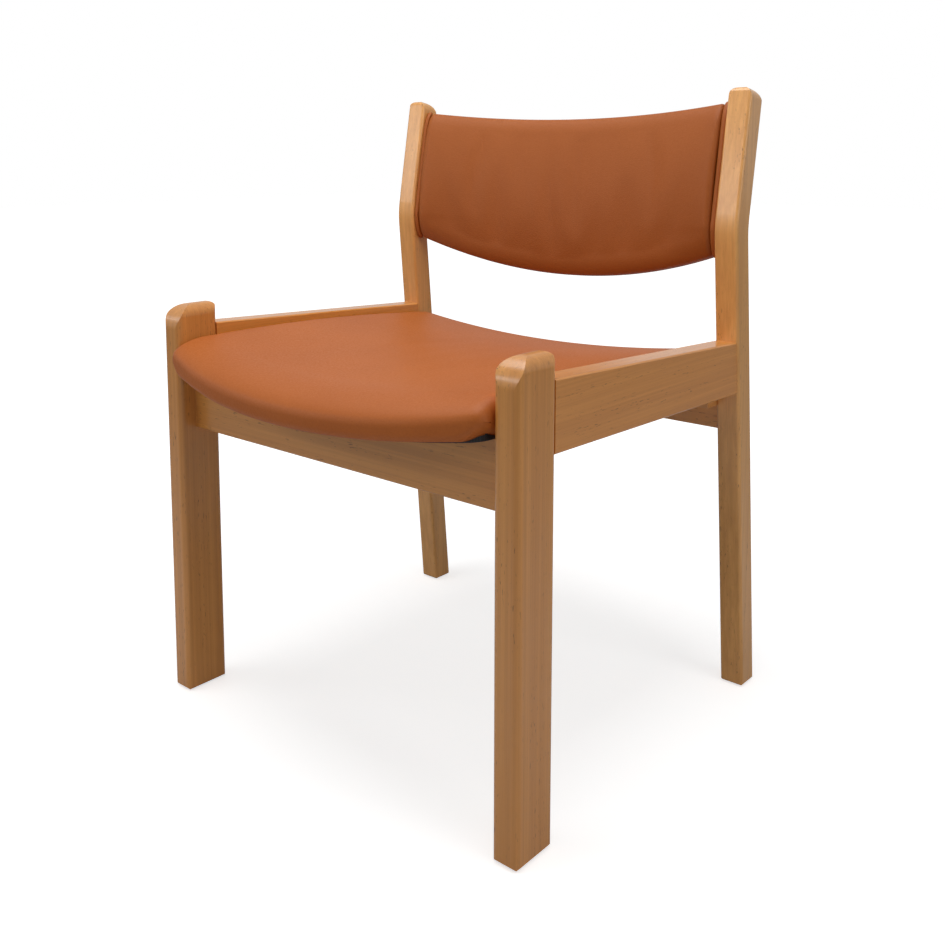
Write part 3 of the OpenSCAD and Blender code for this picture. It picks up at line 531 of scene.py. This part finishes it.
def grid_form(top, loops, under):
    """Points and faces of a closed form: a grid on top, loops round its edge, a grid below."""
    m, n = top.shape[0] - 1, top.shape[1] - 1
    row = n + 1
    places = loop_places(n, m)
    count = len(places)
    first = top.shape[0] * row
    last = first + len(loops) * count
    points = np.concatenate([top.reshape(-1, 3), *loops, under.reshape(-1, 3)])
    rim = [j * row + i for i, j in places]
    rings = [rim] + [[first + k * count + i for i in range(count)] for k in range(len(loops))]
    rings.append([last + i for i in rim])
    faces = []
    for j in range(m):
        for i in range(n):
            a, b = j * row + i, (j + 1) * row + i
            faces.append((a, a + 1, b + 1, b))
            faces.append((last + a, last + b, last + b + 1, last + a + 1))
    for upper, lower in zip(rings, rings[1:]):
        for k in range(count):
            q = (k + 1) % count
            faces.append((upper[k], lower[k], lower[q], upper[q]))
    return points, faces


def mesh_piece(name, points, faces, material, smooth=True):
    """An object made of points and faces, with all its faces turned outward."""
    mesh = bpy.data.meshes.new(name)
    mesh.from_pydata([tuple(p) for p in points], [], faces)
    bm = bmesh.new()
    bm.from_mesh(mesh)
    bmesh.ops.recalc_face_normals(bm, faces=bm.faces)
    bm.to_mesh(mesh)
    bm.free()
    mesh.polygons.foreach_set("use_smooth", [smooth] * len(mesh.polygons))
    mesh.materials.append(material)
    piece = bpy.data.objects.new(name, mesh)
    bpy.context.scene.collection.objects.link(piece)
    return piece


def spread_places(n, share):
    """Places from 0 to 1, closer together at both ends, the more so the larger the share."""
    t = np.arange(n + 1) / n
    return (1 - share) * t + share * (1 - np.cos(np.pi * t)) / 2


def even_places(cells):
    """Even places from -1 to 1 across a grid, and from 0 to 1 along it."""
    return np.linspace(-1, 1, cells + 1), np.linspace(0, 1, cells + 1)


def dome(u, v):
    """Share of a pad's swelling on a grid: none at its rim, all of it in the middle."""
    uu, vv = np.meshgrid(u, v)
    return np.sin(np.pi * vv) * (1 - uu ** 4)


def grid_points(at, height, u, v, inset):
    """Points of a grid on a pad, from its places and its height."""
    uu, vv = np.meshgrid(u, v)
    x, y = at(uu, vv, inset)
    return np.stack([x, y, height(x, y)], -1)


def loop_points(at, height, u, v, inset):
    """Points of the same grid's rim alone, in order."""
    places = loop_places(len(u) - 1, len(v) - 1)
    x, y = at(np.array([u[i] for i, j in places]), np.array([v[j] for i, j in places]), inset)
    return np.stack([x, y, height(x, y)], -1)


# Cloth
def simulated(piece, held_points, values, frames, gravity):
    """Heights of a piece's points after some frames as cloth. The piece is then removed."""
    held = piece.vertex_groups.new(name="held")
    held.add(held_points, 1.0, "REPLACE")
    modifier = piece.modifiers.new("cloth", "CLOTH")
    modifier.settings.vertex_group_mass = "held"
    for key, value in values.items():
        setattr(modifier.settings, key, value)
    modifier.settings.effector_weights.gravity = gravity
    modifier.collision_settings.use_collision = False
    modifier.point_cache.frame_start, modifier.point_cache.frame_end = 1, frames
    for step in range(1, frames + 1):
        bpy.context.scene.frame_set(step)
    shaped = piece.evaluated_get(bpy.context.evaluated_depsgraph_get())
    heights = np.array([p.co[:] for p in shaped.data.vertices])[:, 2]
    bpy.context.scene.frame_set(1)
    bpy.data.objects.remove(piece)
    return heights


def swell(at, top, k):
    """How far pressed foam lifts the leather: cloth under pressure, held at its rim and base.

    Gives the lift on an even grid, scaled so that it is nowhere more than the pad's rise.
    """
    cells = PAD_CELLS
    u, v = even_places(cells)
    upper = grid_points(at, top, u, v, PAD_INSET)
    upper[..., 2] -= k["drop"] * dome(u, v)
    lower = grid_points(at, lambda x, y: dish_height(x, k["r"]), u, v, PAD_INSET)
    points, faces = grid_form(upper, [], lower)
    pad = mesh_piece("pad", points, faces, seat_leather)
    rim = {j * (cells + 1) + i for i, j in loop_places(cells, cells)}
    free = (cells + 1) ** 2
    held = [i for i in range(len(points)) if i >= free or i in rim]
    heights = simulated(pad, held, PAD_CLOTH, PAD_FRAMES, 0)[:free]
    lift = np.clip(heights.reshape(cells + 1, cells + 1) - upper[..., 2], 0, None)
    return lift * (k["rise"] / max(float(lift.max()), TINY))


def hang(flat, free):
    """How far cloth, held where it can't move, hangs below its flat place under its own weight."""
    rows, columns = flat.shape[:2]
    cage = mesh_piece("dust_cloth_cage", flat.reshape(-1, 3), grid_faces(rows, columns), lining)
    held = [i for i, share in enumerate(free.reshape(-1)) if share < DUST_CLOTH["held_below"]]
    heights = simulated(cage, held, HANG_CLOTH, HANG_FRAMES, 1).reshape(rows, columns)
    drop = np.clip(flat[..., 2] - heights, 0, DUST_CLOTH["most_hang"])
    return drop * (DUST_CLOTH["hang"] / max(float(drop.max()), TINY))


def sampled(field, u, v):
    """Values of an even grid's field at places u (-1 to 1) and v (0 to 1)."""
    n = field.shape[1] - 1
    a = np.clip((u + 1) / 2 * n, 0, n - TINY)
    b = np.clip(v * n, 0, n - TINY)
    i, j = a.astype(int), b.astype(int)
    s, t = a - i, b - j
    return ((1 - t) * ((1 - s) * field[j, i] + s * field[j, i + 1])
            + t * ((1 - s) * field[j + 1, i] + s * field[j + 1, i + 1]))


def cushion(name, k, at, top, place, material, lift=level):
    """Leather over foam: the crowned top, its rounded edge, and the lap turned under the board."""
    pressed = swell(at, top, k)
    u = 2 * spread_places(k["cells"][0], PAD_CROWDING) - 1
    v = spread_places(k["cells"][1], PAD_CROWDING)
    surface = grid_points(at, top, u, v, 0.0)
    surface[..., 2] += sampled(pressed, *np.meshgrid(u, v)) - k["drop"] * dome(u, v)
    turn, lap, board = k["under_r"], k["lap"], k["board_inset"] - LAYER_GAP
    clear = board - LAP_CLEAR
    under = LAYER_GAP + LEATHER_T

    def ring(inset, depth, bend=0.0):
        """A loop under the cushion. Where the leather lifts, it is drawn in clear of the board."""
        loop = loop_points(at, level, u, v, inset)
        up = lift(loop[:, 0], loop[:, 1])
        if inset > clear:
            share = ease(up / LAP_LIFT)[:, None]
            loop = loop * (1 - share) + loop_points(at, level, u, v, clear) * share
        loop[:, 2] = dish_height(loop[:, 0], k["r"], k["board_t"]) - depth + bend + up
        return loop

    edge = loop_points(at, top, u, v, 0.0)
    foot = ring(0.0, under, turn)
    loops = []
    for share in (0.25, 0.5, 0.75):
        loop = edge.copy()
        loop[:, 2] += (foot[:, 2] - edge[:, 2]) * share
        loops.append(loop)
    for step in range(TURN_STEPS + 1):
        a = math.pi / 2 * step / TURN_STEPS
        loops.append(ring(turn * (1 - math.cos(a)), under, turn * (1 - math.sin(a))))
    for inset, depth in (((turn + lap) / 2, under), (lap - LAP_EDGE_W, under),
                         (lap, under - LAP_EDGE), (lap, LAYER_GAP + LAP_EDGE),
                         (lap - LAP_EDGE_W, LAYER_GAP), (board, LAYER_GAP)):
        loops.append(ring(inset, depth))
    below = grid_points(at, lambda x, y: dish_height(x, k["r"]) + LAYER_GAP, u, v, board)
    points, faces = grid_form(surface, loops, below)
    return mesh_piece(name, place(points), faces, material)


# Upholstery
def make_cushions():
    """The seat's and the back rest's pads, each a closed leather skin over its foam."""
    seat = cushion("seat_cushion", SEAT, seat_at, seat_top, from_seat, seat_leather, seat_lift)
    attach(seat, "root")
    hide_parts("seat_cover", "seat_foam")
    back = cushion("back_cushion", BACK, back_at, back_top, from_back, shaded_back_leather)
    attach(back, "root")
    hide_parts("back_front_cover", "back_foam")


def make_strip(name, node, side):
    """The padded leather strip between the back rest's panel and a post, rolled at both ends."""
    k, s = BACK, STRIP
    w = k["length"] * spread_places(s["cells"], s["crowding"])
    face = k["dish"] + (s["face"] - k["dish"] + back_bulge(w)) * roll(w, k["roll"], k["keep"]) \
        * roll(k["length"] - w, k["roll"], k["keep"])
    run = np.gradient(face, w)
    out = np.stack([-run, np.ones_like(run)], -1) / np.sqrt(1 + run * run)[:, None]
    middle, half = (s["inner"] + s["outer"]) / 2, (s["outer"] - s["inner"]) / 2
    turns = np.linspace(0, math.pi, s["turns"] + 1)
    crown = s["crown"] * np.sin(turns) ** s["flatness"] - s["sink"]
    section = list(zip(-np.cos(turns), crown)) + [(1.0, -s["depth"]), (-1.0, -s["depth"])]
    lines = [np.stack([np.full_like(w, side * (middle + half * across)),
                       w + out[:, 0] * rise, face + out[:, 1] * rise], -1)
             for across, rise in section]
    strip = mesh_piece(name, from_back(np.concatenate(lines)), tube_faces(len(lines), len(w)),
                       shaded_back_leather)
    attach(strip, "root")
    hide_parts(node)


def make_rear_cover():
    """Leather on the rear of the back rest's board, eased down to the board at its edge."""
    k, s = BACK, REAR_COVER
    depth = k["board_t"] + LAYER_GAP

    def stand(x, y):
        u = np.clip(np.abs(x) / k["half_w"], 0, 1)
        low = y + k["low_bow"] * (1 - u * u)
        high = k["length"] - k["high_dip"] * (1 - u * u) - y
        edge = np.minimum(np.minimum(low, high), k["half_w"] - np.abs(x)) - s["inset"]
        return s["stand"] * ease(edge / s["edge"])

    u = 2 * spread_places(s["cells"][0], s["crowding"]) - 1
    v = spread_places(s["cells"][1], s["crowding"])
    outer = grid_points(back_at, lambda x, y: dish_height(x, k["r"], depth + LEATHER_T)
                        - stand(x, y), u, v, s["inset"])
    inner = grid_points(back_at, lambda x, y: dish_height(x, k["r"], depth) - stand(x, y),
                        u, v, s["inset"] + s["bevel"])
    points, faces = grid_form(inner, [], outer)
    cover = mesh_piece("back_rear_panel", from_back(points), faces, shaded_back_leather)
    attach(cover, "root")
    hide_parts("back_rear_cover")


def make_underlining():
    """Black cloth stapled under the seat, slack in the middle field that no batten presses."""
    k, s = SEAT, DUST_CLOTH
    u, v = even_places(s["cells"])
    flat = grid_points(seat_at, lambda x, y: dish_height(x, k["r"], k["board_t"] + s["clear"]),
                       u, v, s["inset"])
    free = ease((s["field_half_w"] - np.abs(flat[..., 0])) / s["side_fade"]) \
        * ease((flat[..., 1] - s["field_front"]) / s["end_fade"]) \
        * ease((s["field_rear"] - flat[..., 1]) / s["end_fade"])
    sag = hang(flat, free) * free
    lower, upper = flat.copy(), flat.copy()
    lower[..., 2] -= s["t"] + sag
    upper[..., 2] -= sag
    points, faces = grid_form(upper, [], lower)
    under = mesh_piece("seat_dust_cloth", from_seat(points), faces, lining)
    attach(under, "root")
    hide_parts("seat_underlining")


def make_corner_lining(name, side):
    """Black cloth round the board's front corner, seen where the leather is pulled up."""
    k, s = SEAT, CORNER_CLOTH
    run = np.linspace(0, 1, s["front_points"])
    across = side * (1 - s["front_share"] * (1 - run) ** s["gather"])
    along = np.linspace(*s["side"], s["side_points"])

    def path(inset):
        """Along the front edge to the corner, then back along the side."""
        return np.array([seat_at(a, 0.0, inset) for a in across]
                        + [seat_at(side * 1.0, b, inset) for b in along])

    low = k["board_t"] + s["past_board"]
    rows = []
    for line, depths in ((path(s["outer"]), np.linspace(s["top"], low, s["rows"])),
                         (path(s["inner"]), np.linspace(low, s["top"], s["rows"]))):
        for depth in depths:
            rows.append(np.stack([line[:, 0], line[:, 1],
                                  dish_height(line[:, 0], k["r"]) - depth], -1))
    piece = mesh_piece(name, from_seat(np.concatenate(rows)),
                       tube_faces(len(rows), len(rows[0])), corner_cloth)
    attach(piece, "root")


def make_staples():
    """Steel staples in the leather's lap and the cloth's edge, in one piece."""
    k, s = SEAT, STAPLE
    corners = ((-1, -1), (1, -1), (1, 1), (-1, 1))
    box = ((0, 1, 2, 3), (7, 6, 5, 4), (0, 4, 5, 1), (1, 5, 6, 2), (2, 6, 7, 3), (3, 7, 4, 0))
    across, along = (s["step"], 0.0), (0.0, s["step"])
    rows = [(a, 0.0, across) for a in np.linspace(*s["front"])] \
        + [(a, 1.0, across) for a in np.linspace(*s["rear"])] \
        + [(side, b, along) for side in (-1.0, 1.0) for b in np.linspace(*s["sides"])]
    points, faces = [], []
    for a, b, (a_step, b_step) in rows:
        x, y = seat_at(a, b, s["inset"])
        next_x, next_y = seat_at(a + a_step, b + b_step, s["inset"])
        lift = float(seat_lift(x, y))
        if lift > s["most_lift"]:
            continue
        run = np.array([next_x - x, next_y - y])
        run = run / np.linalg.norm(run) * s["half_l"]
        cross = np.array([-run[1], run[0]]) / s["half_l"] * s["half_w"]
        z = float(dish_height(x, k["r"], k["board_t"])) - LAYER_GAP - LEATHER_T + lift
        first = len(points)
        for face_z in (z + s["sunk"], z - s["proud"]):
            for p, q in corners:
                points.append((x + p * run[0] + q * cross[0], y + p * run[1] + q * cross[1],
                               face_z))
        faces += [tuple(first + i for i in face) for face in box]
    staples = mesh_piece("seat_staples", from_seat(np.array(points)), faces, screw_steel,
                         smooth=False)
    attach(staples, "root")


make_cushions()
make_strip("back_welt_left", "back_strip_left", -1)
make_strip("back_welt_right", "back_strip_right", 1)
make_rear_cover()
make_underlining()
make_corner_lining("seat_corner_cloth_left", -1)
make_corner_lining("seat_corner_cloth_right", 1)
make_staples()


# Floor, lamps and world. The floor's glow is for the camera alone: a distance and its level.
FLOOR_TONE = 0.80
FLOOR_SIZE, FLOOR_CELLS = 24.0, 8
GLOW_NEAR, GLOW_FAR = (0.35, 0.67), (1.5, 1.0)

# The world's level as light, in reflections and to the camera
WORLD_LEVEL, WORLD_GLOSS, WORLD_SEEN = 0.20, 0.6, 1.0

# Each lamp's size, place, target and watts
LAMPS = {"lamp_above": ((1.2, 0.8), (0.0, -0.2, 1.6), (0.0, 0.0, 0.45), 12.5),
         "lamp_side": ((1.2, 1.2), (2.3, -0.1, 1.3), (0.0, 0.0, 0.45), 8.5),
         "lamp_front": ((1.5, 0.35), (-1.05, -1.4, 1.13), (0.0, 0.2, 0.7), 5.5)}


def add_stage():
    """A pale floor that keeps a soft shadow near the chair and runs out to plain white."""
    n = Nodes("floor")
    n.finish(rgb(FLOOR_TONE, FLOOR_TONE, FLOOR_TONE), 0.9, Specular_IOR_Level=0.0)
    rays = n.node("ShaderNodeLightPath")
    away = n.node("ShaderNodeVectorMath", {0: n.object}, operation="LENGTH").outputs["Value"]
    (near, near_level), (far, far_level) = GLOW_NEAR, GLOW_FAR
    glow = n.node("ShaderNodeEmission", {
        "Color": rgb(1, 1, 1),
        "Strength": n.times(rays.outputs["Is Camera Ray"],
                            n.spread(away, near, far, near_level, far_level))})
    both = n.node("ShaderNodeAddShader", {0: n.shader.outputs[0], 1: glow.outputs[0]})
    n.put(n.tree.nodes["Material Output"].inputs["Surface"], both.outputs[0])
    line = np.linspace(-FLOOR_SIZE / 2, FLOOR_SIZE / 2, FLOOR_CELLS + 1)
    floor = mesh_piece("floor", [(x, y, 0.0) for y in line for x in line],
                       grid_faces(len(line), len(line)), n.material, smooth=False)


def add_lamp(name, size, place, target, watts):
    """A rectangular lamp that faces its target."""
    data = bpy.data.lights.new(name, "AREA")
    data.shape = "RECTANGLE"
    data.size, data.size_y = size
    data.energy = watts
    lamp = bpy.data.objects.new(name, data)
    lamp.location = place
    lamp.rotation_euler = (Vector(target) - Vector(place)).to_track_quat("-Z", "Y").to_euler()
    bpy.context.scene.collection.objects.link(lamp)


def add_light():
    """Soft lamps, and a world that is white to the camera, dimmer in reflections, dim as light."""
    world = bpy.data.worlds.new("world")
    world.use_nodes = True
    tree = world.node_tree
    back = tree.nodes["Background"]
    back.inputs["Color"].default_value = rgb(1, 1, 1)
    rays = tree.nodes.new("ShaderNodeLightPath")

    def raised(ray, gain):
        """A node whose last input is the level below it, raised by gain for one kind of ray."""
        made = tree.nodes.new("ShaderNodeMath")
        made.operation = "MULTIPLY_ADD"
        tree.links.new(rays.outputs[ray], made.inputs[0])
        made.inputs[1].default_value = gain
        return made

    gloss = raised("Is Glossy Ray", WORLD_GLOSS - WORLD_LEVEL)
    gloss.inputs[2].default_value = WORLD_LEVEL
    seen = raised("Is Camera Ray", WORLD_SEEN - WORLD_LEVEL)
    tree.links.new(gloss.outputs[0], seen.inputs[2])
    tree.links.new(seen.outputs[0], back.inputs["Strength"])
    bpy.context.scene.world = world
    for name, (size, place, target, watts) in LAMPS.items():
        add_lamp(name, size, place, target, watts)


add_stage()
add_light()
bpy.context.scene.view_settings.view_transform = "Standard"
